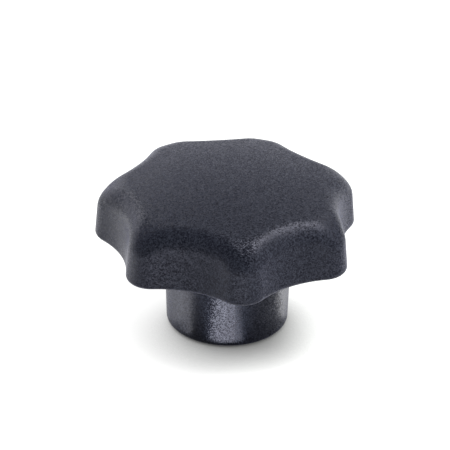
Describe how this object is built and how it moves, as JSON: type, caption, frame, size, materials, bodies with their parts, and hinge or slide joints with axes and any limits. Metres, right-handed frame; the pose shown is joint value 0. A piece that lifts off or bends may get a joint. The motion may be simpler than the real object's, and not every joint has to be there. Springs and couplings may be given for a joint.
{
  "type": "star knob",
  "caption": "Star knob with rounded lobes, a domed top and a short round hub that holds a blind threaded brass bushing, for clamping by hand.",
  "frame": {"origin": "centre of the hub's clamping face, where the threaded hole opens", "axes": "+Z along the knob's axis, from the clamping face up to the domed crown; -Y towards the front lobe's tip"},
  "size_m": [0.0488, 0.0478, 0.0299],
  "materials": {
    "moulded_body": "fine spark-eroded matt, blue-black",
    "brass_bushing": "turned"
  },
  "bodies": {
    "root": {"knob_body": "moulded_body", "threaded_bushing": "brass_bushing"}
  },
  "joints": []
}
